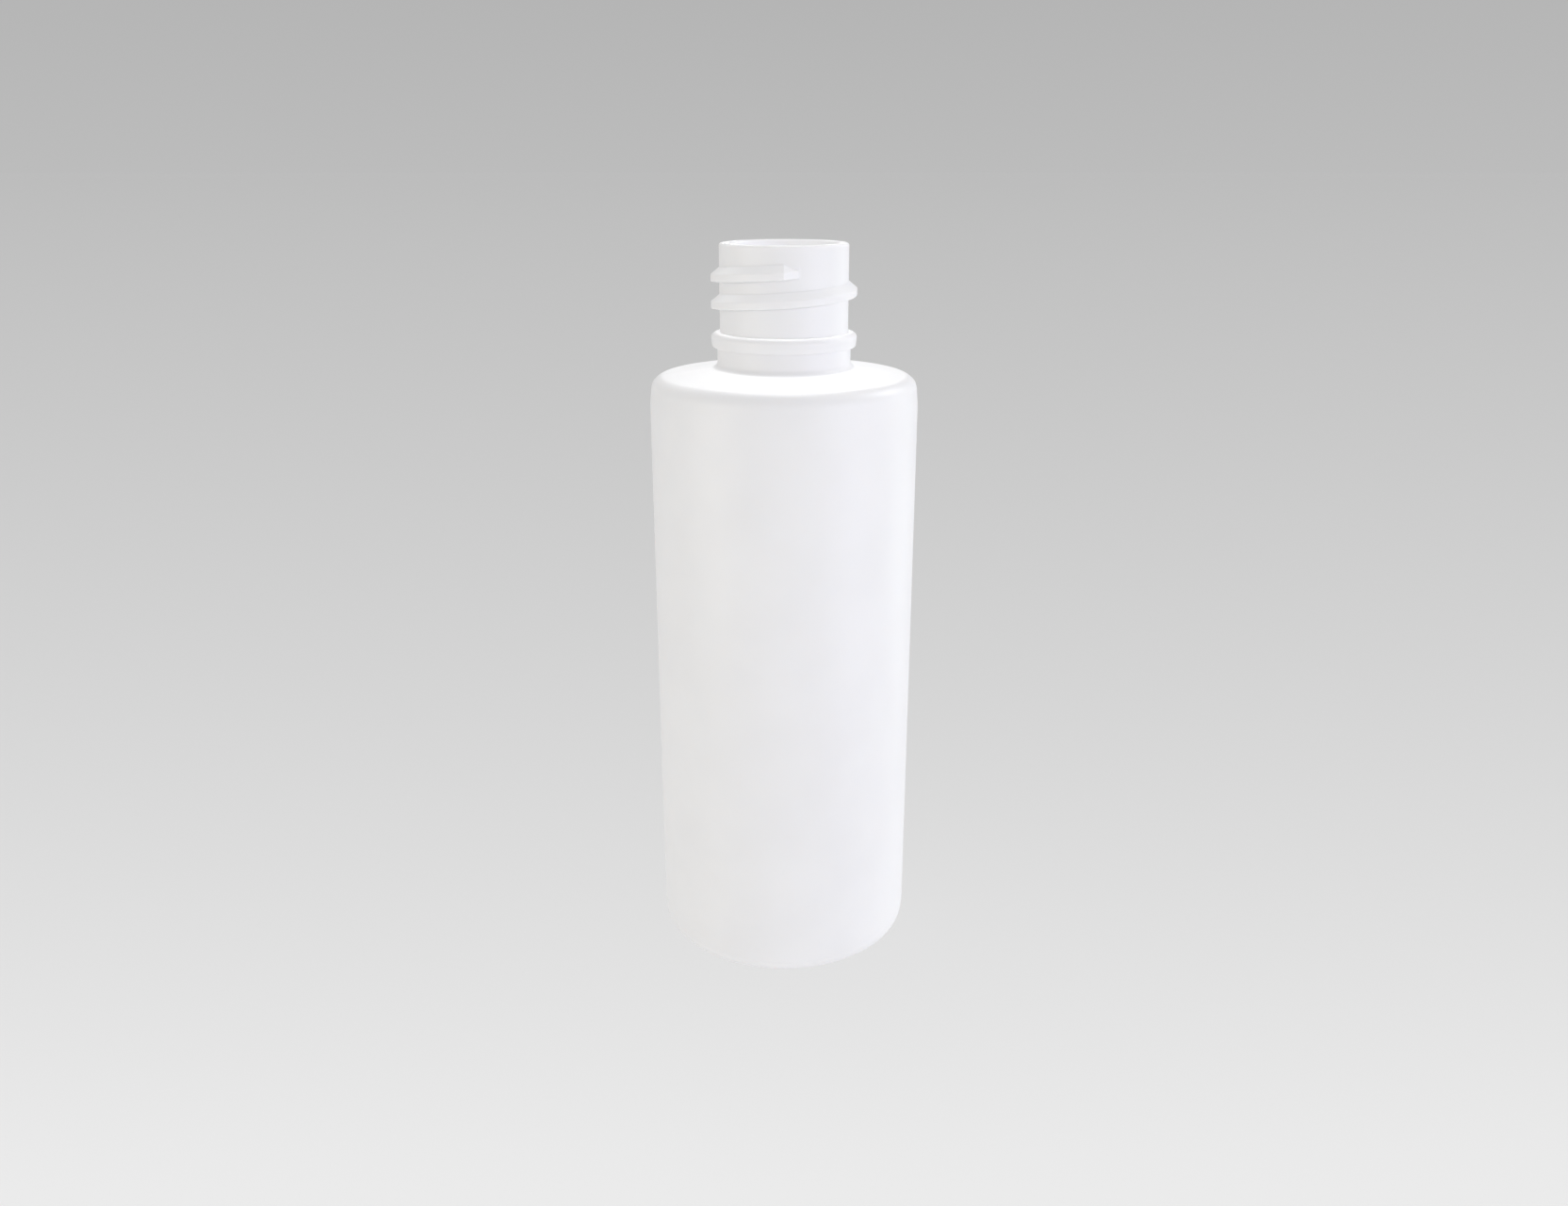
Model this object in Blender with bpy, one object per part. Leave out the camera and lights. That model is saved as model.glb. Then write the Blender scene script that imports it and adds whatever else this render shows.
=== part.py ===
"""Cosmetic bottle: one hollow blow-moulded shell with a straight round body, a nearly flat
shoulder and a screw neck of the 18 mm class, with a buttress thread and a bead.

Metres, +Z up. The bottle stands on z = 0 with its axis on the Z axis, and the thread
starts at the front, on the -Y side.
"""

import math
from collections import namedtuple

import bmesh
import bpy
from mathutils import Matrix, Vector

MM = 0.001

# Body
BODY_DIAMETER = 33.0 * MM
SHOULDER_HEIGHT = 74.98 * MM  # table to the shoulder's outer edge, before it is rounded
SHOULDER_SLOPE = math.radians(8.4)
SHOULDER_FILLET = 1.78 * MM
HEEL_FILLET = 2.45 * MM
WALL_DRAW = math.radians(5.0)  # the wall draws in a little below the shoulder and above the heel
WALL_DRAW_HEIGHT = 3.3 * MM
WALL_DRAW_FILLET = 12.0 * MM
WALL = 1.0 * MM

# Base: a flat standing ring round a shallow push-up, which the pinch-off weld crosses
STANDING_RING = 1.55 * MM
PUSH_UP = 1.2 * MM
PUSH_UP_STEP = 2.2 * MM  # run of the sloping step between the ring and the raised floor
PUSH_UP_FILLET = 1.2 * MM
WELD_END_GAP = 2.0 * MM  # raised floor left free at each end of the weld
WELD_WIDTH = 0.5 * MM  # across its crest
WELD_HEIGHT = 0.3 * MM
WELD_DRAFT = math.radians(35.0)

# Neck: heights stack up from the shoulder, and the other radii from the neck's own
NECK_DIAMETER = 15.52 * MM  # E, at the thread's root
NECK_WALL = 1.26 * MM
LIP_FILLET = 0.32 * MM
BORE_FOOT_FILLET = 1.2 * MM
NECK_FOOT_HEIGHT = 2.43 * MM  # shoulder to the underside of the bead
NECK_FOOT_STEP = 0.34 * MM  # how much the foot stands out from the neck
NECK_FOOT_FILLET = 0.8 * MM

# Bead
BEAD_THICKNESS = 1.73 * MM  # at its root
BEAD_REACH = 1.145 * MM  # out from the neck, at its upper edge
BEAD_LEAN = math.radians(6.2)  # its outer face draws in on the way down
BEAD_UNDERSIDE = math.radians(5.0)
BEAD_TOP_FILLET = 0.66 * MM
BEAD_LOW_FILLET = 0.1 * MM
BEAD_ROOT_FILLET = 0.15 * MM

# Thread: right-hand, one start, eight turns to the inch
THREAD_DEPTH = 1.04 * MM
THREAD_PITCH = 25.4 * MM / 8
THREAD_TURNS = 1.5
THREAD_TO_BEAD = 2.4 * MM  # middle of the crest at its lower end, down to the bead
SEAL_TO_THREAD = 3.29 * MM  # sealing land, down to the middle of the crest at its start
CREST_WIDTH = 0.83 * MM
CREST_BEVEL = 0.1 * MM  # cut off each edge of the crest, along the crest and along the flank
UPPER_FLANK = math.radians(39.0)  # both flanks are measured from level
LOAD_FLANK = math.radians(10.0)
RUN_OUT = math.radians(13.5)  # arc over which each end sinks into the neck
THREAD_START = math.radians(-90.0)

# Fineness of the solid, and how far joined shapes overlap
SEGMENTS = 64
ARC_TOLERANCE = 0.02 * MM
FILLET_SHARE = 0.98  # of a side that the fillets at its two ends may take up
EMBED = 0.5 * MM
RUN_OUT_SINK = 0.1 * MM

COLOUR = (0.82, 0.82, 0.83, 1.0)
ROUGHNESS = 0.42
SHARP_EDGE = math.radians(32.0)

body_radius = BODY_DIAMETER / 2
neck_radius = NECK_DIAMETER / 2
bore_radius = neck_radius - NECK_WALL
foot_radius = neck_radius + NECK_FOOT_STEP
bead_radius = neck_radius + BEAD_REACH
crest_radius = neck_radius + THREAD_DEPTH
drawn_radius = body_radius - WALL_DRAW_HEIGHT * math.tan(WALL_DRAW)
ring_radius = drawn_radius - HEEL_FILLET - STANDING_RING
floor_radius = ring_radius - PUSH_UP_STEP

neck_base = SHOULDER_HEIGHT + (drawn_radius - foot_radius) * math.tan(SHOULDER_SLOPE)
bead_base = neck_base + NECK_FOOT_HEIGHT
bead_top = bead_base + BEAD_THICKNESS
thread_end = bead_top + THREAD_TO_BEAD
thread_start = thread_end + THREAD_PITCH * THREAD_TURNS
rim = thread_start + SEAL_TO_THREAD

# One corner of the shell's half section, and the radius that rounds it
Corner = namedtuple("Corner", "radius height fillet")


def clear_scene():
    for obj in list(bpy.data.objects):
        bpy.data.objects.remove(obj, do_unlink=True)


def plastic():
    """White HDPE as it comes out of a satin mould."""
    material = bpy.data.materials.new("white_hdpe")
    material.use_nodes = True
    shader = material.node_tree.nodes["Principled BSDF"]
    shader.inputs["Base Color"].default_value = COLOUR
    shader.inputs["Roughness"].default_value = ROUGHNESS
    shader.inputs["Metallic"].default_value = 0.0
    return material


def place(corner):
    return Vector((corner.radius, corner.height))


def meeting(start_a, along_a, start_b, along_b):
    """Where two straight lines of the half section meet."""
    reach = (start_b - start_a).cross(along_b) / along_a.cross(along_b)
    return start_a + along_a * reach


def one_wall_in(corners, wall):
    """The corners of the parallel outline on the left, and the line that its last side lies on."""
    sides = []
    for here, after in zip(corners, corners[1:]):
        along = (place(after) - place(here)).normalized()
        sides.append((place(here) + Vector((-along.y, along.x)) * wall, along))
    found = [Corner(*sides[0][0], 0)]
    for outer, before, after in zip(corners[1:], sides, sides[1:]):
        turns_left = before[1].cross(after[1]) > 0
        fillet = outer.fillet - wall if turns_left else outer.fillet + wall
        found.append(Corner(*meeting(*before, *after), max(fillet, 0)))
    return found, sides[-1]


def half_angles(corners):
    """Half the angle between the two sides at each corner, and a right angle at the two ends."""
    found = [math.pi / 2]
    for before, corner, after in zip(corners, corners[1:], corners[2:]):
        found.append((place(before) - place(corner)).angle(place(after) - place(corner)) / 2)
    return found + [math.pi / 2]


def tangent_lengths(corners, halves):
    """How far each fillet reaches along its sides, shared out where two want the same side."""
    wanted = [corner.fillet / math.tan(half) for corner, half in zip(corners, halves)]
    allowed = list(wanted)
    for i in range(len(corners) - 1):
        side = (place(corners[i + 1]) - place(corners[i])).length
        both = wanted[i] + wanted[i + 1]
        share = min(1, FILLET_SHARE * side / both) if both > 0 else 1
        allowed[i] = min(allowed[i], wanted[i] * share)
        allowed[i + 1] = min(allowed[i + 1], wanted[i + 1] * share)
    return allowed


def rounded(corners):
    """Points along the outline, with a tangent arc in place of each corner that has a fillet."""
    halves = half_angles(corners)
    reaches = tangent_lengths(corners, halves)
    points = [place(corners[0])]
    for i in range(1, len(corners) - 1):
        middle = place(corners[i])
        back = (place(corners[i - 1]) - middle).normalized()
        onward = (place(corners[i + 1]) - middle).normalized()
        radius = reaches[i] * math.tan(halves[i])
        if radius < ARC_TOLERANCE:
            points.append(middle)
            continue
        centre = middle + (back + onward).normalized() * (radius / math.sin(halves[i]))
        first = middle + back * reaches[i] - centre
        sweep = math.copysign(math.pi - 2 * halves[i], onward.cross(back))
        steps = max(2, math.ceil(abs(sweep) / (2 * math.acos(1 - ARC_TOLERANCE / radius))))
        points += [centre + Matrix.Rotation(sweep * n / steps, 2) @ first for n in range(steps + 1)]
    points.append(place(corners[-1]))
    return points


def half_section():
    """The shell's wall in section: out from the middle of the base, up the outside, down the bore."""
    outside = [
        Corner(0, PUSH_UP, 0),
        Corner(floor_radius, PUSH_UP, PUSH_UP_FILLET),
        Corner(ring_radius, 0, PUSH_UP_FILLET),
        Corner(drawn_radius, 0, HEEL_FILLET),
        Corner(body_radius, WALL_DRAW_HEIGHT, WALL_DRAW_FILLET),
        Corner(body_radius, SHOULDER_HEIGHT - WALL_DRAW_HEIGHT, WALL_DRAW_FILLET),
        Corner(drawn_radius, SHOULDER_HEIGHT, SHOULDER_FILLET),
        Corner(foot_radius, neck_base, NECK_FOOT_FILLET),
    ]
    inside, under_shoulder = one_wall_in(outside, WALL)
    underside = (math.cos(BEAD_UNDERSIDE), math.sin(BEAD_UNDERSIDE))
    face = (math.sin(BEAD_LEAN), math.cos(BEAD_LEAN))
    bead_low = meeting(
        Vector((foot_radius, bead_base)), Vector(underside),
        Vector((bead_radius, bead_top)), Vector(face),
    )
    bore_foot = meeting(*under_shoulder, Vector((bore_radius, rim)), Vector((0, 1)))
    neck = [
        Corner(foot_radius, bead_base, 0),
        Corner(*bead_low, BEAD_LOW_FILLET),
        Corner(bead_radius, bead_top, BEAD_TOP_FILLET),
        Corner(neck_radius, bead_top, BEAD_ROOT_FILLET),
        Corner(neck_radius, rim, LIP_FILLET),
        Corner(bore_radius, rim, LIP_FILLET),
        Corner(*bore_foot, BORE_FOOT_FILLET),
    ]
    return rounded(outside + neck + inside[::-1])


def new_object(name, bm):
    bmesh.ops.recalc_face_normals(bm, faces=bm.faces)
    mesh = bpy.data.meshes.new(name)
    bm.to_mesh(mesh)
    bm.free()
    obj = bpy.data.objects.new(name, mesh)
    bpy.context.scene.collection.objects.link(obj)
    return obj


def turned_shell():
    """The shell without its thread and weld: the half section turned once round the axis."""
    bm = bmesh.new()
    points = [bm.verts.new((p.x, 0, p.y)) for p in half_section()]
    edges = [bm.edges.new(pair) for pair in zip(points, points[1:])]
    bmesh.ops.spin(
        bm, geom=points + edges, cent=(0, 0, 0), axis=(0, 0, 1),
        angle=2 * math.pi, steps=SEGMENTS, use_merge=True,
    )
    bmesh.ops.remove_doubles(bm, verts=bm.verts, dist=0.001 * MM)
    return new_object("bottle", bm)


def flank(edge, angle, reach):
    """The point that lies reach down a flank, inwards from the crest's edge."""
    radius, height = edge
    return radius - reach * math.cos(angle), height + reach * math.sin(angle)


def thread_section(bm, turned, crest):
    """The ridge's corners, turned radians down the thread from its start."""
    azimuth = THREAD_START - turned
    middle = thread_start - THREAD_PITCH * turned / (2 * math.pi)
    deep = crest - neck_radius + EMBED
    upper = (crest, middle + CREST_WIDTH / 2)
    lower = (crest, middle - CREST_WIDTH / 2)
    corners = (
        flank(upper, UPPER_FLANK, CREST_BEVEL),
        (crest, upper[1] - CREST_BEVEL),
        (crest, lower[1] + CREST_BEVEL),
        flank(lower, -LOAD_FLANK, CREST_BEVEL),
        flank(lower, -LOAD_FLANK, deep / math.cos(LOAD_FLANK)),
        flank(upper, UPPER_FLANK, deep / math.cos(UPPER_FLANK)),
    )
    return [bm.verts.new((r * math.cos(azimuth), r * math.sin(azimuth), z)) for r, z in corners]


def thread_ridge():
    """The ridge as a closed solid: full sections round the helix, and a flat ramp at each end."""
    turn = 2 * math.pi * THREAD_TURNS
    steps = round(SEGMENTS * THREAD_TURNS)
    sunk = neck_radius - RUN_OUT_SINK
    ramp = RUN_OUT * (crest_radius - sunk) / THREAD_DEPTH
    bm = bmesh.new()
    sections = [thread_section(bm, -ramp, sunk)]
    sections += [thread_section(bm, turn * i / steps, crest_radius) for i in range(steps + 1)]
    sections.append(thread_section(bm, turn + ramp, sunk))
    for here, after in zip(sections, sections[1:]):
        bmesh.ops.bridge_loops(bm, edges=ring_edges(bm, here) + ring_edges(bm, after))
    bm.faces.new(sections[0])
    bm.faces.new(sections[-1])
    return new_object("thread_ridge", bm)


def ring_edges(bm, ring):
    return [bm.edges.get(pair) or bm.edges.new(pair) for pair in zip(ring, ring[1:] + ring[:1])]


def pinch_off_weld():
    """The low weld left across the raised floor, in the plane where the mould's halves meet."""
    bm = bmesh.new()
    bmesh.ops.create_cube(bm, size=2.0)
    tall = WELD_HEIGHT + WALL / 2
    for vert in bm.verts:
        spread = tall * math.tan(WELD_DRAFT) if vert.co.z > 0 else 0
        vert.co.x *= floor_radius - WELD_END_GAP + spread
        vert.co.y *= WELD_WIDTH / 2 + spread
        vert.co.z = PUSH_UP - WELD_HEIGHT + (tall if vert.co.z > 0 else 0)
    return new_object("pinch_off_weld", bm)


def join(target, part):
    part.hide_render = True
    part.display_type = "WIRE"
    union = target.modifiers.new(part.name, "BOOLEAN")
    union.operation = "UNION"
    union.solver = "EXACT"
    union.object = part


def apply_joins(obj):
    """Makes the joined shape the object's own mesh, so that it can be shaded by its edges."""
    before = obj.data
    graph = bpy.context.evaluated_depsgraph_get()
    obj.data = bpy.data.meshes.new_from_object(obj.evaluated_get(graph))
    obj.modifiers.clear()
    bpy.data.meshes.remove(before)
    obj.data.name = obj.name


def build():
    clear_scene()
    bottle = turned_shell()
    join(bottle, thread_ridge())
    join(bottle, pinch_off_weld())
    apply_joins(bottle)
    bottle.data.materials.append(plastic())
    bottle.data.shade_smooth()
    bottle.data.set_sharp_from_angle(angle=SHARP_EDGE)


build()
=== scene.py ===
# A white cosmetic bottle, empty and without its closure. Metres, +Z up. The bottle stands on
# z = 0 with its axis on the Z axis, and the front, where the thread starts, is towards -Y.
import math
from collections import namedtuple

import bmesh
import bpy
from mathutils import Matrix, Vector, noise


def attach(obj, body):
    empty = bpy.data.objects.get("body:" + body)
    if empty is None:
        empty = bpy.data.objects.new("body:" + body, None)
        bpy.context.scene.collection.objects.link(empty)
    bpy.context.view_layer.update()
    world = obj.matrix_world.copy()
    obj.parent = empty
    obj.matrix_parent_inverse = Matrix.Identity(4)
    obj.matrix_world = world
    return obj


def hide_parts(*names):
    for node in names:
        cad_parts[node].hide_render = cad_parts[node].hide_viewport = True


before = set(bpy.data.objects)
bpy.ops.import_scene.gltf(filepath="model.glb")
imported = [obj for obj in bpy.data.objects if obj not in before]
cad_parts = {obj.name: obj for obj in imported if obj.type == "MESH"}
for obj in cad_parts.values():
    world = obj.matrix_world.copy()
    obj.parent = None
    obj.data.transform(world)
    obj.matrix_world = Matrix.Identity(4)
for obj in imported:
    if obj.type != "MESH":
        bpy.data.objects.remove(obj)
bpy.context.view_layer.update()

# The bottle: one shell of white high-density polyethylene, about 1 mm thick, with a straight
# round body, a nearly flat shoulder and a screw neck for an 18 mm closure. It is blown from a
# molten tube shut in a two-part mould, and its neck is finished in one with it.
MM = 0.001
PARTING_LINE = 0.03 * MM  # height of the fine line left where the mould's halves meet
PARTING_FADE = 0.25 * MM

BODY_RADIUS = 16.5 * MM  # over the parting lines
SHOULDER_HEIGHT = 74.98 * MM
SHOULDER_SLOPE = math.radians(8.4)
SHOULDER_FILLET = 1.78 * MM
HEEL_FILLET = 2.45 * MM
WALL_DRAW = math.radians(5.0)  # the wall draws in a little below the shoulder and above the heel
WALL_DRAW_HEIGHT = 3.3 * MM
WALL_DRAW_FILLET = 12.0 * MM
WALL = 1.0 * MM

STANDING_RING = 1.55 * MM
PUSH_UP = 1.2 * MM
PUSH_UP_STEP = 2.2 * MM
PUSH_UP_FILLET = 1.2 * MM

NECK_RADIUS = 7.76 * MM
BORE_RADIUS = 6.5 * MM
LIP_FILLET = 0.32 * MM
BORE_FOOT_FILLET = 1.2 * MM
NECK_FOOT_HEIGHT = 2.43 * MM
NECK_FOOT_STEP = 0.34 * MM
NECK_FOOT_FILLET = 0.8 * MM

BEAD_THICKNESS = 1.73 * MM
BEAD_REACH = 1.145 * MM
BEAD_LEAN = math.radians(6.2)
BEAD_UNDERSIDE = math.radians(5.0)
BEAD_TOP_FILLET = 0.66 * MM
BEAD_LOW_FILLET = 0.1 * MM
BEAD_ROOT_FILLET = 0.15 * MM

THREAD_DEPTH = 1.04 * MM
THREAD_PITCH = 25.4 * MM / 8
THREAD_TURNS = 1.5
THREAD_TO_BEAD = 2.4 * MM
SEAL_TO_THREAD = 3.29 * MM
CREST_WIDTH = 0.83 * MM
UPPER_FLANK = math.radians(39.0)
LOAD_FLANK = math.radians(10.0)
CREST_TOP_FILLET = 0.3 * MM
CREST_LOW_FILLET = 0.15 * MM
THREAD_ROOT_FILLET = 0.1 * MM
RUN_OUT = math.radians(13.5)

wall_radius = BODY_RADIUS - PARTING_LINE
foot_radius = NECK_RADIUS + NECK_FOOT_STEP
bead_radius = NECK_RADIUS + BEAD_REACH
drawn_in = WALL_DRAW_HEIGHT * math.tan(WALL_DRAW)
ring_radius = BODY_RADIUS - drawn_in - HEEL_FILLET - STANDING_RING
floor_radius = ring_radius - PUSH_UP_STEP
shoulder_edge = SHOULDER_HEIGHT + PARTING_LINE * math.tan(SHOULDER_SLOPE)
neck_base = SHOULDER_HEIGHT + (BODY_RADIUS - drawn_in - foot_radius) * math.tan(SHOULDER_SLOPE)
bead_base = neck_base + NECK_FOOT_HEIGHT
bead_top = bead_base + BEAD_THICKNESS
thread_end = bead_top + THREAD_TO_BEAD
thread_start = thread_end + THREAD_PITCH * THREAD_TURNS
rim = thread_start + SEAL_TO_THREAD

# The part of the neck that the thread's sheet covers, between the bead and the lip
BAND_FOOT = bead_top + 0.5 * MM
BAND_HEAD = rim - 0.6 * MM

# Whole turns of the sheet's strip, so that it reaches past the band's head and foot
TURNS_ABOVE = math.ceil((BAND_HEAD - thread_start) / THREAD_PITCH + 0.5)
TURNS_BELOW = math.ceil((thread_start - BAND_FOOT) / THREAD_PITCH + 0.5)

# Fineness: how far an arc's sides may lie off it, and the rows of points along straight sides
ARC_TOLERANCE = 0.002 * MM
HOLDING_ROW = 0.12 * MM
ROW_STEP = 6.0 * MM
COLUMN_STEP = math.radians(1.5)
FINE_COLUMN = math.radians(0.45)
SEWING_DISTANCE = 0.002 * MM  # points of two sheets that are nearer than this become one

# One corner of an outline, and the radius that rounds it
Corner = namedtuple("Corner", "radius height fillet")


def place(corner):
    return Vector((corner.radius, corner.height))


def meeting(start_a, along_a, start_b, along_b):
    """Where two straight lines of an outline meet."""
    reach = (start_b - start_a).cross(along_b) / along_a.cross(along_b)
    return start_a + along_a * reach


def one_wall_in(corners, wall):
    """The corners of the parallel outline on the left, and the line that its last side lies on."""
    sides = []
    for here, after in zip(corners, corners[1:]):
        along = (place(after) - place(here)).normalized()
        sides.append((place(here) + Vector((-along.y, along.x)) * wall, along))
    found = [Corner(*sides[0][0], 0)]
    for outer, before, after in zip(corners[1:], sides, sides[1:]):
        turns_left = before[1].cross(after[1]) > 0
        fillet = outer.fillet - wall if turns_left else outer.fillet + wall
        found.append(Corner(*meeting(*before, *after), max(fillet, 0)))
    return found, sides[-1]


def straight(start, end):
    """Rows along a straight side, with one close to each end so that the shading stays flat."""
    length = (end - start).length
    if length < 3 * HOLDING_ROW:
        return []
    margin = HOLDING_ROW / length
    steps = math.ceil((1 - 2 * margin) * length / ROW_STEP)
    return [start.lerp(end, margin + (1 - 2 * margin) * n / steps) for n in range(steps + 1)]


def arc(before, middle, after, fillet):
    """Points round one corner, from tangent to tangent."""
    back = (before - middle).normalized()
    onward = (after - middle).normalized()
    half = back.angle(onward) / 2
    if fillet <= ARC_TOLERANCE:
        return [middle]
    centre = middle + (back + onward).normalized() * (fillet / math.sin(half))
    first = middle + back * (fillet / math.tan(half)) - centre
    sweep = math.copysign(math.pi - 2 * half, onward.cross(back))
    steps = max(2, math.ceil(abs(sweep) / (2 * math.acos(1 - ARC_TOLERANCE / fillet))))
    return [centre + Matrix.Rotation(sweep * n / steps, 2) @ first for n in range(steps + 1)]


def rounded(corners):
    """Points along an outline, with an arc at each corner that has a fillet."""
    points = [place(corners[0])]
    for before, corner, after in zip(corners, corners[1:], corners[2:]):
        turn = arc(place(before), place(corner), place(after), corner.fillet)
        points += straight(points[-1], turn[0]) + turn
    end = place(corners[-1])
    return points + straight(points[-1], end) + [end]


outer_shell = [
    Corner(0, PUSH_UP, 0),
    Corner(floor_radius, PUSH_UP, PUSH_UP_FILLET),
    Corner(ring_radius, 0, PUSH_UP_FILLET),
    Corner(wall_radius - drawn_in, 0, HEEL_FILLET),
    Corner(wall_radius, WALL_DRAW_HEIGHT, WALL_DRAW_FILLET),
    Corner(wall_radius, SHOULDER_HEIGHT - WALL_DRAW_HEIGHT, WALL_DRAW_FILLET),
    Corner(wall_radius - drawn_in, shoulder_edge, SHOULDER_FILLET),
    Corner(foot_radius, neck_base, NECK_FOOT_FILLET),
]
inner_shell, under_shoulder = one_wall_in(outer_shell, WALL)
bead_low = meeting(
    Vector((foot_radius, bead_base)),
    Vector((math.cos(BEAD_UNDERSIDE), math.sin(BEAD_UNDERSIDE))),
    Vector((bead_radius, bead_top)),
    Vector((math.sin(BEAD_LEAN), math.cos(BEAD_LEAN))),
)
bore_foot = meeting(*under_shoulder, Vector((BORE_RADIUS, rim)), Vector((0, 1)))

outside = rounded(outer_shell + [
    Corner(foot_radius, bead_base, 0),
    Corner(*bead_low, BEAD_LOW_FILLET),
    Corner(bead_radius, bead_top, BEAD_TOP_FILLET),
    Corner(NECK_RADIUS, bead_top, BEAD_ROOT_FILLET),
    Corner(NECK_RADIUS, BAND_FOOT, 0),
])
lip_and_inside = rounded([
    Corner(NECK_RADIUS, BAND_HEAD, 0),
    Corner(NECK_RADIUS, rim, LIP_FILLET),
    Corner(BORE_RADIUS, rim, LIP_FILLET),
    Corner(*bore_foot, BORE_FOOT_FILLET),
] + inner_shell[::-1])

# The thread's ridge in section: how far each point stands out from the neck, and how far it
# lies above the middle of the crest
ridge = rounded([
    Corner(0, -THREAD_PITCH / 2, 0),
    Corner(0, -CREST_WIDTH / 2 - THREAD_DEPTH * math.tan(LOAD_FLANK), THREAD_ROOT_FILLET),
    Corner(THREAD_DEPTH, -CREST_WIDTH / 2, CREST_LOW_FILLET),
    Corner(THREAD_DEPTH, CREST_WIDTH / 2, CREST_TOP_FILLET),
    Corner(0, CREST_WIDTH / 2 + THREAD_DEPTH * math.tan(UPPER_FLANK), THREAD_ROOT_FILLET),
    Corner(0, THREAD_PITCH / 2, 0),
])


def points_object(name, points):
    """A helper for the node trees to read, with one loose point for each row or column."""
    mesh = bpy.data.meshes.new(name)
    mesh.from_pydata(points, [], [])
    obj = bpy.data.objects.new(name, mesh)
    bpy.context.scene.collection.objects.link(obj)
    return obj


def parting(point):
    """The parting line's height at a point of the outside: none at the table or over the lip."""
    off_table = (point.y - PARTING_FADE) / PARTING_FADE
    below_lip = (rim - LIP_FILLET - point.y) / PARTING_FADE + 1
    return PARTING_LINE * max(0, min(1, off_table, below_lip))


# A row's radius, the height of its parting line, and its own height
outside_rows = points_object("outside_rows", [(p.x, parting(p), p.y) for p in outside])
inside_rows = points_object("inside_rows", [
    (p.x, parting(p) if p.y > BAND_HEAD and p.x > BORE_RADIUS + LIP_FILLET else 0, p.y)
    for p in lip_and_inside
])

# Each ridge point carries the height that it shrinks towards where the thread runs out: the
# nearer edge of the crest, or its own height on the bare neck beside the ridge
half_crest = CREST_WIDTH / 2
ridge_rows = points_object("ridge_rows", [
    (p.x, max(-half_crest, min(half_crest, p.y)) if p.x > 0 else p.y, p.y) for p in ridge
])

# Columns are even round the bottle, with a finer one on each side of the parting lines and of
# the thread's ends
turn_steps = round(2 * math.pi / COLUMN_STEP)
marks = [n * math.pi / 2 + extra for n in range(4) for extra in (-FINE_COLUMN, FINE_COLUMN)]
columns = sorted([n * COLUMN_STEP for n in range(turn_steps)] + [a % (2 * math.pi) for a in marks])
column_angles = points_object("column_angles", [(angle, 0, 0) for angle in columns])


NODE_SPACING = 180


def new_group(name, inputs, outputs):
    """A geometry node group with named sockets, and what its two end nodes hold."""
    tree = bpy.data.node_groups.new(name, "GeometryNodeTree")
    for label, kind in inputs.items():
        tree.interface.new_socket(label, in_out="INPUT", socket_type="NodeSocket" + kind)
    for label, kind in outputs.items():
        tree.interface.new_socket(label, in_out="OUTPUT", socket_type="NodeSocket" + kind)
    given = tree.nodes.new("NodeGroupInput").outputs
    result = tree.nodes.new("NodeGroupOutput").inputs
    return tree, given, result


def add(tree, kind, values=(), **settings):
    """Adds a node, and gives each of the sockets named in values its link or its plain value."""
    node = tree.nodes.new(kind)
    node.location.x = NODE_SPACING * len(tree.nodes)
    for name, setting in settings.items():
        setattr(node, name, setting)
    for socket, value in dict(values).items():
        if isinstance(value, bpy.types.NodeSocket):
            tree.links.new(value, node.inputs[socket])
        else:
            node.inputs[socket].default_value = value
    return node


def whole_maths(tree, operation, *values):
    """One step of arithmetic on whole numbers."""
    steps = enumerate(values)
    return add(tree, "FunctionNodeIntegerMath", steps, operation=operation).outputs[0]


def maths(tree, operation, *values):
    """One step of arithmetic."""
    return add(tree, "ShaderNodeMath", enumerate(values), operation=operation).outputs[0]


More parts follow.
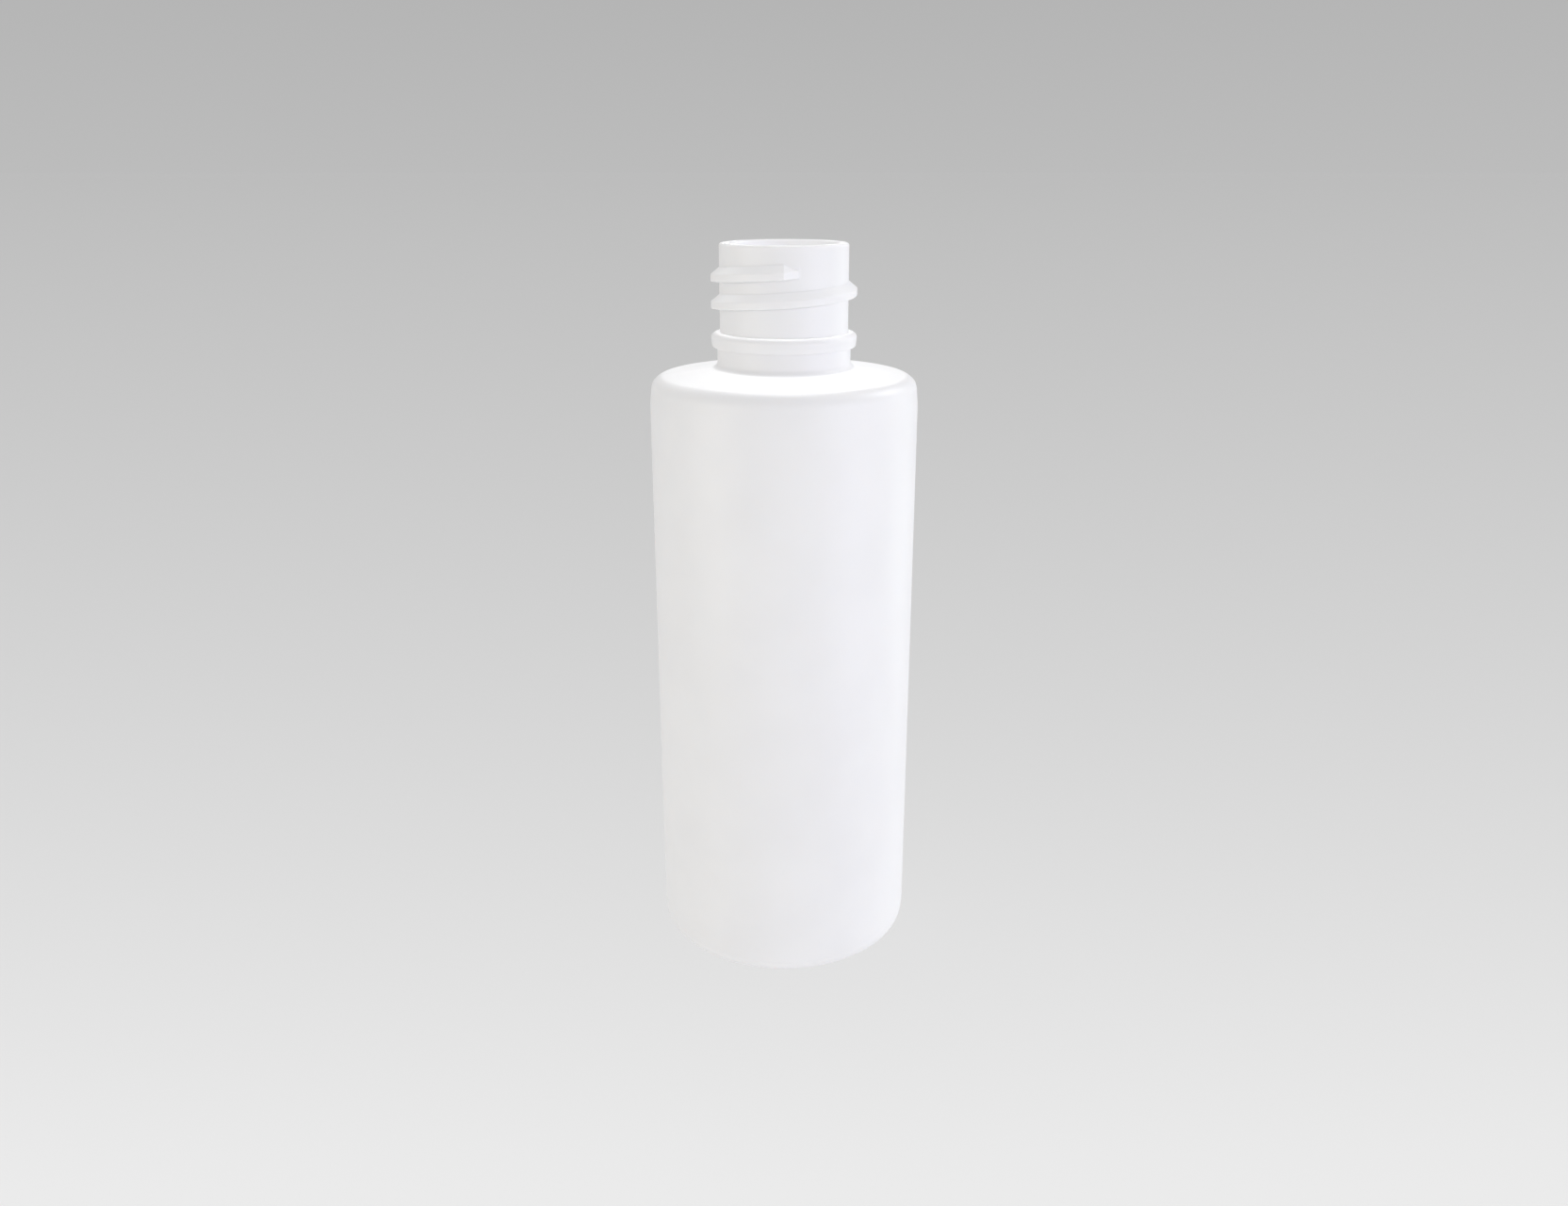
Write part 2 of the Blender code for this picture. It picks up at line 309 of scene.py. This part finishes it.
def rows_and_columns():
    """Group: a bare sheet, the section's point for each of its rows, and each column's turn."""
    tree, given, result = new_group(
        "rows_and_columns",
        {"Section": "Object", "Columns": "Object", "First Turn": "Int", "Turns": "Int"},
        {"Sheet": "Geometry", "Point": "Vector", "Turned": "Float"},
    )
    section = add(tree, "GeometryNodeObjectInfo", {"Object": given["Section"]}).outputs["Geometry"]
    angles = add(tree, "GeometryNodeObjectInfo", {"Object": given["Columns"]}).outputs["Geometry"]
    rows = add(tree, "GeometryNodeAttributeDomainSize", {0: section}).outputs["Point Count"]
    per_turn = add(tree, "GeometryNodeAttributeDomainSize", {0: angles}).outputs["Point Count"]
    position = add(tree, "GeometryNodeInputPosition").outputs[0]
    index = add(tree, "GeometryNodeInputIndex").outputs[0]
    row = whole_maths(tree, "MODULO", index, rows)
    column = whole_maths(tree, "DIVIDE_FLOOR", index, rows)
    in_turn = whole_maths(tree, "MODULO", column, per_turn)
    turns_before = whole_maths(tree, "DIVIDE_FLOOR", column, per_turn)
    turn = whole_maths(tree, "ADD", turns_before, given["First Turn"])
    last_column = whole_maths(tree, "MULTIPLY_ADD", per_turn, given["Turns"], 1)
    sheet = add(tree, "GeometryNodeMeshGrid", {"Vertices X": last_column, "Vertices Y": rows})
    point = add(
        tree, "GeometryNodeSampleIndex",
        {"Geometry": section, "Value": position, "Index": row}, data_type="FLOAT_VECTOR",
    )
    angle = add(
        tree, "GeometryNodeSampleIndex",
        {"Geometry": angles, "Value": position, "Index": in_turn}, data_type="FLOAT_VECTOR",
    )
    angle = add(tree, "ShaderNodeSeparateXYZ", {0: angle.outputs[0]}).outputs["X"]
    tree.links.new(sheet.outputs["Mesh"], result["Sheet"])
    tree.links.new(point.outputs[0], result["Point"])
    tree.links.new(maths(tree, "MULTIPLY_ADD", turn, 2 * math.pi, angle), result["Turned"])
    return tree


def wrapped():
    """Group: puts each point of a sheet at its radius, height and turn, clockwise from the front."""
    tree, given, result = new_group(
        "wrapped",
        {"Sheet": "Geometry", "Radius": "Float", "Height": "Float", "Turned": "Float",
         "Parting": "Float"},
        {"Sheet": "Geometry"},
    )
    out = maths(tree, "MULTIPLY", given["Radius"], -1.0)
    front = add(tree, "ShaderNodeCombineXYZ", {"Y": out, "Z": given["Height"]}).outputs[0]
    round_axis = add(
        tree, "ShaderNodeVectorRotate",
        {"Vector": front, "Angle": maths(tree, "MULTIPLY", given["Turned"], -1.0)},
        rotation_type="Z_AXIS",
    )
    placed = add(
        tree, "GeometryNodeSetPosition",
        {"Geometry": given["Sheet"], "Position": round_axis.outputs[0]},
    )
    outwards = add(tree, "GeometryNodeFlipFaces", {0: placed.outputs[0]})
    kept = add(
        tree, "GeometryNodeStoreNamedAttribute",
        {"Geometry": outwards.outputs[0], "Name": "parting", "Value": given["Parting"]},
    )
    tree.links.new(kept.outputs[0], result["Sheet"])
    return tree


ROWS_AND_COLUMNS = rows_and_columns()
WRAPPED = wrapped()


def turned_outline():
    """Group: one outline turned once round the axis."""
    tree, given, result = new_group(
        "turned_outline", {"Outline": "Object", "Columns": "Object"}, {"Surface": "Geometry"},
    )
    sheet = add(
        tree, "GeometryNodeGroup",
        {"Section": given["Outline"], "Columns": given["Columns"], "Turns": 1},
        node_tree=ROWS_AND_COLUMNS,
    ).outputs
    point = add(tree, "ShaderNodeSeparateXYZ", {0: sheet["Point"]}).outputs
    surface = add(
        tree, "GeometryNodeGroup",
        {"Sheet": sheet["Sheet"], "Radius": point["X"], "Height": point["Z"],
         "Turned": sheet["Turned"], "Parting": point["Y"]},
        node_tree=WRAPPED,
    )
    tree.links.new(surface.outputs[0], result["Surface"])
    return tree


def screw_thread():
    """Group: the neck's band of bare wall and ridge, wound down the helix as one long strip.

    The strip is one pitch wide, so that each turn's lower edge meets the next one's upper edge,
    and it is held between the band's foot and head. A flat ramp ends the ridge at each end.
    """
    tree, given, result = new_group(
        "screw_thread",
        {"Ridge": "Object", "Columns": "Object", "Root Radius": "Float", "Crest Radius": "Float",
         "Start Height": "Float", "Pitch": "Float", "Turned in All": "Float",
         "Run-Out": "Float", "Foot": "Float", "Head": "Float", "Parting": "Float"},
        {"Surface": "Geometry"},
    )
    sheet = add(
        tree, "GeometryNodeGroup",
        {"Section": given["Ridge"], "Columns": given["Columns"],
         "First Turn": -TURNS_ABOVE, "Turns": TURNS_ABOVE + TURNS_BELOW},
        node_tree=ROWS_AND_COLUMNS,
    ).outputs
    turned = sheet["Turned"]
    point = add(tree, "ShaderNodeSeparateXYZ", {0: sheet["Point"]}).outputs

    # How far this column lies past either end of the full ridge, and the ramp's radius there:
    # a straight line, seen from above, from the crest down to the root
    past_end = maths(tree, "SUBTRACT", turned, given["Turned in All"])
    past_start = maths(tree, "MULTIPLY", turned, -1.0)
    past = maths(tree, "MAXIMUM", maths(tree, "MAXIMUM", past_start, past_end), 0.0)
    past = maths(tree, "MINIMUM", past, given["Run-Out"])
    left = maths(tree, "SUBTRACT", given["Run-Out"], past)
    both = maths(tree, "MULTIPLY", given["Root Radius"], given["Crest Radius"])
    over = maths(tree, "MULTIPLY", both, maths(tree, "SINE", given["Run-Out"]))
    under = maths(tree, "MULTIPLY", given["Root Radius"], maths(tree, "SINE", left))
    under = maths(tree, "MULTIPLY_ADD", given["Crest Radius"], maths(tree, "SINE", past), under)
    ramp = maths(tree, "SUBTRACT", maths(tree, "DIVIDE", over, under), given["Root Radius"])
    depth = maths(tree, "SUBTRACT", given["Crest Radius"], given["Root Radius"])
    share = maths(tree, "DIVIDE", ramp, depth)

    radius = maths(tree, "MULTIPLY_ADD", point["X"], share, given["Root Radius"])
    from_anchor = maths(tree, "SUBTRACT", point["Z"], point["Y"])
    in_section = maths(tree, "MULTIPLY_ADD", from_anchor, share, point["Y"])
    per_radian = maths(tree, "DIVIDE", given["Pitch"], -2 * math.pi)
    middle = maths(tree, "MULTIPLY_ADD", turned, per_radian, given["Start Height"])
    height = maths(tree, "ADD", middle, in_section)
    height = maths(tree, "MAXIMUM", height, given["Foot"])
    height = maths(tree, "MINIMUM", height, given["Head"])
    surface = add(
        tree, "GeometryNodeGroup",
        {"Sheet": sheet["Sheet"], "Radius": radius, "Height": height, "Turned": turned,
         "Parting": given["Parting"]},
        node_tree=WRAPPED,
    )
    tree.links.new(surface.outputs[0], result["Surface"])
    return tree


TURNED_OUTLINE = turned_outline()
SCREW_THREAD = screw_thread()


def blown_bottle():
    """The bottle's own tree: its outlines and thread sewn together, then the marks of the mould."""
    tree, given, result = new_group(
        "blown_bottle",
        {"Shell": "Geometry", "Outside": "Object", "Lip and Inside": "Object", "Ridge": "Object",
         "Columns": "Object", "Weld": "Object", "Root Radius": "Float", "Crest Radius": "Float",
         "Start Height": "Float", "Pitch": "Float", "Turned in All": "Float",
         "Run-Out": "Float", "Foot": "Float", "Head": "Float", "Parting": "Float",
         "Plastic": "Material"},
        {"Shell": "Geometry"},
    )
    joined = add(tree, "GeometryNodeJoinGeometry")
    for outline in ("Lip and Inside", "Outside"):
        surface = add(
            tree, "GeometryNodeGroup",
            {"Outline": given[outline], "Columns": given["Columns"]}, node_tree=TURNED_OUTLINE,
        )
        tree.links.new(surface.outputs[0], joined.inputs[0])
    names = [item.name for item in SCREW_THREAD.interface.items_tree if item.in_out == "INPUT"]
    thread = add(
        tree, "GeometryNodeGroup", {name: given[name] for name in names}, node_tree=SCREW_THREAD,
    )
    tree.links.new(thread.outputs[0], joined.inputs[0])
    sewn = add(
        tree, "GeometryNodeMergeByDistance",
        {"Geometry": joined.outputs[0], "Distance": SEWING_DISTANCE},
    )
    smooth = add(tree, "GeometryNodeSetShadeSmooth", {"Geometry": sewn.outputs[0]})

    # The parting line: the points in the plane where the mould's halves meet move outwards
    position = add(tree, "GeometryNodeInputPosition").outputs[0]
    across = add(tree, "ShaderNodeSeparateXYZ", {0: position}).outputs["Y"]
    in_plane = maths(tree, "COMPARE", across, 0.0, SEWING_DISTANCE)
    height = add(tree, "GeometryNodeInputNamedAttribute", {"Name": "parting"}).outputs[0]
    normal = add(tree, "GeometryNodeInputNormal").outputs[0]
    outwards = add(
        tree, "ShaderNodeVectorMath",
        {"Vector": normal, "Scale": maths(tree, "MULTIPLY", height, in_plane)},
        operation="SCALE",
    )
    parted = add(
        tree, "GeometryNodeSetPosition",
        {"Geometry": smooth.outputs[0], "Offset": outwards.outputs[0]},
    )
    plain = add(
        tree, "GeometryNodeRemoveAttribute", {"Geometry": parted.outputs[0], "Name": "parting"},
    )
    weld = add(tree, "GeometryNodeObjectInfo", {"Object": given["Weld"]}).outputs["Geometry"]
    union = add(tree, "GeometryNodeMeshBoolean", operation="UNION", solver="EXACT")
    tree.links.new(plain.outputs[0], union.inputs["Mesh 2"])
    tree.links.new(weld, union.inputs["Mesh 2"])
    shaded = add(tree, "GeometryNodeSetShadeSmooth", {"Geometry": union.outputs[0]})
    real = add(tree, "GeometryNodeRealizeInstances", {"Geometry": shaded.outputs[0]})
    made = add(
        tree, "GeometryNodeSetMaterial",
        {"Geometry": real.outputs[0], "Material": given["Plastic"]},
    )
    tree.links.new(made.outputs[0], result["Shell"])
    return tree


# The pinch-off weld: a low rib across the raised floor, where the mould nipped the tube shut.
# Its crest wanders a little, as squeezed plastic does.
WELD_END_GAP = 2.0 * MM
WELD_WIDTH = 0.5 * MM
WELD_HEIGHT = 0.3 * MM
WELD_DRAFT = math.radians(35.0)
WELD_CROWN = 2.6  # the power that rounds its crest, where 2 is a parabola
WELD_END_WIDTH = 0.35  # the share of its width that is left at its ends
WELD_EMBED = 0.4 * MM
WELD_STATIONS = 96
WELD_ROWS = 14
WELD_WANDER = 0.05 * MM
DRIFTS_PER_MM = 0.9
SWELLS_PER_MM = 1.6
DRIFT_PLACE = (3.7, 0)  # where in the noise the drift is read, and the swelling
SWELL_PLACE = (0, 8.1)


def pinch_off_weld():
    """The weld as a closed solid whose upper half is sunk in the floor's wall."""
    reach = floor_radius - WELD_END_GAP
    half_foot = WELD_WIDTH / 2 + WELD_HEIGHT * math.tan(WELD_DRAFT)
    skirt = WELD_EMBED / 4
    rings = []
    bm = bmesh.new()
    for i in range(WELD_STATIONS + 1):
        x = reach * (2 * i / WELD_STATIONS - 1)
        end = min(1, (reach - abs(x)) / WELD_WIDTH)
        fade = math.sqrt(end * (2 - end))
        side = WELD_WANDER * noise.noise(Vector((x / MM * DRIFTS_PER_MM, *DRIFT_PLACE)))
        swell = WELD_WANDER * noise.noise(Vector((x / MM * SWELLS_PER_MM, *SWELL_PLACE)))
        tall = (WELD_HEIGHT + swell) * fade
        wide = half_foot * (WELD_END_WIDTH + (1 - WELD_END_WIDTH) * fade)
        ring = []
        for n in range(WELD_ROWS + 1):
            across = 2 * n / WELD_ROWS - 1
            crown = 1 - abs(across) ** WELD_CROWN
            depth = (tall + skirt) * crown - skirt
            ring.append(bm.verts.new((x, side + wide * across, PUSH_UP - depth)))
        ring.append(bm.verts.new((x, side + wide, PUSH_UP + WELD_EMBED)))
        ring.append(bm.verts.new((x, side - wide, PUSH_UP + WELD_EMBED)))
        rings.append(ring)
    for here, after in zip(rings, rings[1:]):
        for n in range(len(here)):
            m = (n + 1) % len(here)
            bm.faces.new((here[n], here[m], after[m], after[n]))
    bm.faces.new(rings[0])
    bm.faces.new(rings[-1])
    bmesh.ops.recalc_face_normals(bm, faces=bm.faces)
    mesh = bpy.data.meshes.new("pinch_off_weld")
    bm.to_mesh(mesh)
    bm.free()
    obj = bpy.data.objects.new("pinch_off_weld", mesh)
    bpy.context.scene.collection.objects.link(obj)
    return obj


weld = pinch_off_weld()


# White HDPE as it comes from a sand-blasted mould: waxy and slightly see-into, with a fine matt
# grain, faint upright streaks from the die, a slightly smoother neck and light scuffs at the table
WHITE = (0.828, 0.828, 0.838, 1.0)
WHITE_SHADED = (0.810, 0.810, 0.821, 1.0)
SCUFFED_WHITE = (0.74, 0.74, 0.735, 1.0)
BODY_ROUGHNESS = 0.38
NECK_ROUGHNESS = 0.36
ROUGHNESS_DRIFT = 0.03
SCUFF_ROUGHNESS = 0.12
CLOUD_SIZE = 9.0 * MM
STREAK_SIZE = 1.1 * MM
STREAK_DRAW = 0.012  # the pattern's pace up the bottle, beside its pace across
STREAK_HEIGHT = 0.002 * MM
GRAIN_SIZE = 0.28 * MM
GRAIN_HEIGHT = 0.004 * MM
SCUFF_SIZE = 0.6 * MM
SCUFF_REACH = 0.45 * MM  # how far up from the table the scuffs go
SCUFF_START = 0.48
SCUFF_FULL = 0.62
NOISE_LOW = 0.3  # soft noise keeps to about this range
NOISE_HIGH = 0.7
REFRACTION = 1.54
SEE_INTO = 0.4 * MM
SEE_INTO_SHARE = 0.6
SEE_INTO_COLOUR = (1.0, 0.95, 0.9)

satin = bpy.data.materials.new("satin_white_hdpe")
satin.use_nodes = True
plastic = satin.node_tree


def pattern(tree, place, size, detail=2.0):
    """Soft noise whose features are about size across."""
    values = {"Vector": place, "Scale": 1 / size, "Detail": detail}
    return add(tree, "ShaderNodeTexNoise", values, noise_dimensions="3D").outputs["Fac"]


def between(tree, value, start, end, low=0.0, high=1.0, rule="SMOOTHSTEP"):
    """Carries a value that runs from start to end over to low and high."""
    values = {0: value, 1: start, 2: end, 3: low, 4: high}
    return add(tree, "ShaderNodeMapRange", values, interpolation_type=rule).outputs[0]


def mixed(tree, share, first, second):
    """A colour between two others."""
    node = add(tree, "ShaderNodeMix", {0: share, 6: first, 7: second}, data_type="RGBA")
    return node.outputs[2]


def drift(tree, noise_value, low, high):
    """Carries soft noise over to low and high."""
    return between(tree, noise_value, NOISE_LOW, NOISE_HIGH, low, high, "LINEAR")


spot = add(plastic, "ShaderNodeTexCoord").outputs["Object"]
height = add(plastic, "ShaderNodeSeparateXYZ", {0: spot}).outputs["Z"]
upright = {"Vector": spot, "Scale": (1, 1, STREAK_DRAW)}
drawn_out = add(plastic, "ShaderNodeMapping", upright).outputs[0]
cloud = pattern(plastic, spot, CLOUD_SIZE)
streaks = pattern(plastic, drawn_out, STREAK_SIZE, detail=3.0)
grain = pattern(plastic, spot, GRAIN_SIZE, detail=3.0)
scuffs = pattern(plastic, spot, SCUFF_SIZE, detail=4.0)
on_neck = between(plastic, height, neck_base, bead_base)
at_table = between(plastic, height, SCUFF_REACH, 0.0)
scuffed = between(plastic, scuffs, SCUFF_START, SCUFF_FULL)
scuffed = maths(plastic, "MULTIPLY", scuffed, at_table)

clouded = between(plastic, cloud, NOISE_LOW, NOISE_HIGH)
colour = mixed(plastic, clouded, WHITE_SHADED, WHITE)
colour = mixed(plastic, scuffed, colour, SCUFFED_WHITE)
rough = between(plastic, on_neck, 0.0, 1.0, BODY_ROUGHNESS, NECK_ROUGHNESS, "LINEAR")
for texture in (streaks, grain):
    rougher = drift(plastic, texture, -ROUGHNESS_DRIFT, ROUGHNESS_DRIFT)
    rough = maths(plastic, "ADD", rough, rougher)
rough = maths(plastic, "MULTIPLY_ADD", scuffed, SCUFF_ROUGHNESS, rough)
off_neck = maths(plastic, "SUBTRACT", 1.0, on_neck)
streak_share = maths(plastic, "MULTIPLY", off_neck, STREAK_HEIGHT / GRAIN_HEIGHT)
relief = maths(plastic, "MULTIPLY_ADD", streaks, streak_share, grain)
bump = add(plastic, "ShaderNodeBump", {"Distance": GRAIN_HEIGHT, "Height": relief})
finish = plastic.nodes["Principled BSDF"].inputs
plastic.links.new(colour, finish["Base Color"])
plastic.links.new(rough, finish["Roughness"])
plastic.links.new(bump.outputs[0], finish["Normal"])
finish["IOR"].default_value = REFRACTION
finish["Subsurface Weight"].default_value = SEE_INTO_SHARE
finish["Subsurface Radius"].default_value = SEE_INTO_COLOUR
finish["Subsurface Scale"].default_value = SEE_INTO


def bake(name, tree, inputs):
    """Gives a tree's inputs to a modifier, and returns the result as an object of plain mesh."""
    obj = points_object(name, [])
    modifier = obj.modifiers.new(name, "NODES")
    modifier.node_group = tree
    for item in tree.interface.items_tree:
        if item.name in inputs and item.in_out == "INPUT":
            modifier[item.identifier] = inputs[item.name]
    obj.update_tag()
    graph = bpy.context.evaluated_depsgraph_get()
    mesh = bpy.data.meshes.new_from_object(obj.evaluated_get(graph))
    obj.modifiers.clear()
    obj.data = mesh
    return obj


bottle = bake("bottle_shell", blown_bottle(), {
    "Outside": outside_rows, "Lip and Inside": inside_rows, "Ridge": ridge_rows,
    "Columns": column_angles, "Weld": weld, "Root Radius": NECK_RADIUS,
    "Crest Radius": NECK_RADIUS + THREAD_DEPTH, "Start Height": thread_start,
    "Pitch": THREAD_PITCH, "Turned in All": 2 * math.pi * THREAD_TURNS, "Run-Out": RUN_OUT,
    "Foot": BAND_FOOT, "Head": BAND_HEAD, "Parting": PARTING_LINE, "Plastic": satin,
})
for helper in (outside_rows, inside_rows, ridge_rows, column_angles, weld):
    bpy.data.objects.remove(helper)

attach(bottle, "root")
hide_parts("bottle")

# The table: a pale, seamless sheet of paper that is no part of the object. Its colour holds a
# painted
# pool of light: what the camera sees of it is painted paler near the bottle and darker with
# distance, meeting the backdrop's grey at the horizon, and it keeps the bottle's soft shadow.
TABLE_RADIUS = 30.0
TABLE_SIDES = 128
TABLE_GAP = 0.02 * MM
TABLE_BOUNCE = (0.78, 0.78, 0.78, 1.0)
# The paler grey painted near the bottle: a painted pool of light
PAINTED_POOL_GREY = (0.83, 0.83, 0.83, 1.0)
FAR_GREY = (0.503, 0.503, 0.503, 1.0)
LIT_SHARE = 0.2  # the share of its look that the lamps and the shadow change
TABLE_LIGHT = 0.99  # the light on the open table, which that share is set against
NEAR_EDGE = -0.055  # the painted pool of light is even up to here, and from here on its painted grey falls as 1 / depth
DEPTH_OFFSET = 0.178
EDGE_BLEND = 0.02
SIDE_REACH = 0.2  # the same painted fall of light all round, which other views see
SIDE_OFFSET = 0.05
SIDE_BLEND = 0.1

bm = bmesh.new()
bmesh.ops.create_circle(bm, cap_ends=True, radius=TABLE_RADIUS, segments=TABLE_SIDES)
bmesh.ops.translate(bm, verts=bm.verts, vec=(0, 0, -TABLE_GAP))
table_mesh = bpy.data.meshes.new("table")
bm.to_mesh(table_mesh)
bm.free()
table = bpy.data.objects.new("table", table_mesh)
bpy.context.scene.collection.objects.link(table)


def seen_directly(tree):
    """1 where the camera, a reflection or a clear piece looks at this, 0 where it only lights."""
    path = add(tree, "ShaderNodeLightPath").outputs
    seen = maths(tree, "MAXIMUM", path["Is Camera Ray"], path["Is Glossy Ray"])
    return maths(tree, "MAXIMUM", seen, path["Is Transmission Ray"])


paper = bpy.data.materials.new("table_paper")
paper.use_nodes = True
sweep = paper.node_tree
spot = add(sweep, "ShaderNodeTexCoord").outputs["Object"]
depth = add(sweep, "ShaderNodeSeparateXYZ", {0: spot}).outputs["Y"]
depth = maths(sweep, "SMOOTH_MAX", depth, NEAR_EDGE, EDGE_BLEND)
depth = maths(sweep, "ADD", depth, DEPTH_OFFSET)
pool_ahead = maths(sweep, "DIVIDE", NEAR_EDGE + DEPTH_OFFSET, depth)
away = add(sweep, "ShaderNodeVectorMath", {0: spot}, operation="LENGTH").outputs["Value"]
pool_around = maths(sweep, "DIVIDE", SIDE_REACH, maths(sweep, "ADD", away, SIDE_OFFSET))
# The painted pool of light: the paper is painted paler towards the bottle and darker away from it
painted_pool = maths(sweep, "SMOOTH_MIN", pool_ahead, pool_around, SIDE_BLEND)
tone_with_painted_pool = mixed(sweep, painted_pool, FAR_GREY, PAINTED_POOL_GREY)
plain = add(sweep, "ShaderNodeEmission", {"Color": tone_with_painted_pool})
lit = add(sweep, "ShaderNodeVectorMath", {0: tone_with_painted_pool, "Scale": 1 / TABLE_LIGHT}, operation="SCALE")
matt = sweep.nodes["Principled BSDF"]
sweep.links.new(lit.outputs[0], matt.inputs["Base Color"])
matt.inputs["Roughness"].default_value = 1.0
matt.inputs["Specular IOR Level"].default_value = 0.0
surface = add(sweep, "ShaderNodeMixShader", {
    0: LIT_SHARE, 1: plain.outputs[0], 2: matt.outputs[0],
})
bounce = add(sweep, "ShaderNodeEmission", {"Color": TABLE_BOUNCE})
shown = add(sweep, "ShaderNodeMixShader", {
    0: seen_directly(sweep), 1: bounce.outputs[0], 2: surface.outputs[0],
})
sweep.links.new(shown.outputs[0], sweep.nodes["Material Output"].inputs["Surface"])
paper.cycles.emission_sampling = "NONE"
table.data.materials.append(paper)

# The light: an even dome and the table's own bounce, which give the soft shadows, and weak, broad
# lamps that cast none. Those behind whiten what faces up, and those at the sides round the body,
# warm on the left and cool on the right.
DOME_LIGHT = (0.70, 0.70, 0.70, 1.0)
HIGH_GREY = (0.44, 0.44, 0.44, 1.0)
HIGH_AT = 0.17  # how high above the horizon the backdrop reaches that grey, as a sine
BACK_SPREAD = math.radians(26.0)
SIDE_SPREAD = math.radians(46.0)
NEUTRAL = (1.0, 1.0, 1.0)
WARM = (1.0, 0.942, 0.828)
COOL = (0.869, 0.863, 1.0)
PALE_GREEN = (0.92, 1.0, 0.95)

world = bpy.data.worlds.new("studio")
world.use_nodes = True
bpy.context.scene.world = world
dome = world.node_tree
direction = add(dome, "ShaderNodeTexCoord").outputs["Generated"]
up = add(dome, "ShaderNodeSeparateXYZ", {0: direction}).outputs["Z"]
grey = mixed(dome, between(dome, up, 0.0, HIGH_AT, rule="LINEAR"), FAR_GREY, HIGH_GREY)
seen = mixed(dome, seen_directly(dome), DOME_LIGHT, grey)
dome.links.new(seen, dome.nodes["Background"].inputs["Color"])


def soft_lamp(name, azimuth, elevation, spread, strength, colour):
    """A far, broad lamp. Its azimuth, in degrees, is measured from the front towards +X."""
    lift = Matrix.Rotation(math.radians(-elevation), 3, "X")
    swing = Matrix.Rotation(math.radians(azimuth), 3, "Z")
    towards = swing @ lift @ Vector((0, -1, 0))
    lamp = bpy.data.lights.new(name, "SUN")
    lamp.energy = strength
    lamp.angle = spread
    lamp.use_shadow = False
    lamp.cycles.use_multiple_importance_sampling = False
    lamp.color = colour
    obj = bpy.data.objects.new(name, lamp)
    obj.rotation_mode = "QUATERNION"
    obj.rotation_quaternion = towards.to_track_quat("Z", "Y")
    bpy.context.scene.collection.objects.link(obj)


soft_lamp("low_back", 180, 22, BACK_SPREAD, 0.27, NEUTRAL)
soft_lamp("high_back", 180, 55, BACK_SPREAD, 0.53, NEUTRAL)
soft_lamp("left_back", -150, 36, BACK_SPREAD, 0.14, NEUTRAL)
soft_lamp("right_back", 120, 36, BACK_SPREAD, 0.57, NEUTRAL)
soft_lamp("right_side", 120, 0, SIDE_SPREAD, 0.24, PALE_GREEN)
soft_lamp("right_front", 60, 0, SIDE_SPREAD, 0.83, COOL)
soft_lamp("near_front", 30, 0, SIDE_SPREAD, 0.19, NEUTRAL)
soft_lamp("left_front", -60, 0, SIDE_SPREAD, 0.58, WARM)
bpy.context.scene.view_settings.view_transform = "Standard"

# The camera: it stands where the photograph was taken from, in front of the bottle, and looks
# down on its middle at 18.6 degrees.
EYE = Vector((0, -159.62, 99.19)) * MM
AIM = Vector((0, 0, 45.48)) * MM
LENS = 29.693
SENSOR_WIDTH = 36.0
NEAREST_SEEN = 10 * MM

camera = bpy.data.objects.new("camera", bpy.data.cameras.new("camera"))
camera.data.lens = LENS
camera.data.sensor_width = SENSOR_WIDTH
camera.data.clip_start = NEAREST_SEEN
camera.location = EYE
camera.rotation_mode = "QUATERNION"
camera.rotation_quaternion = (AIM - EYE).to_track_quat("-Z", "Y")
bpy.context.scene.collection.objects.link(camera)
bpy.context.scene.camera = camera
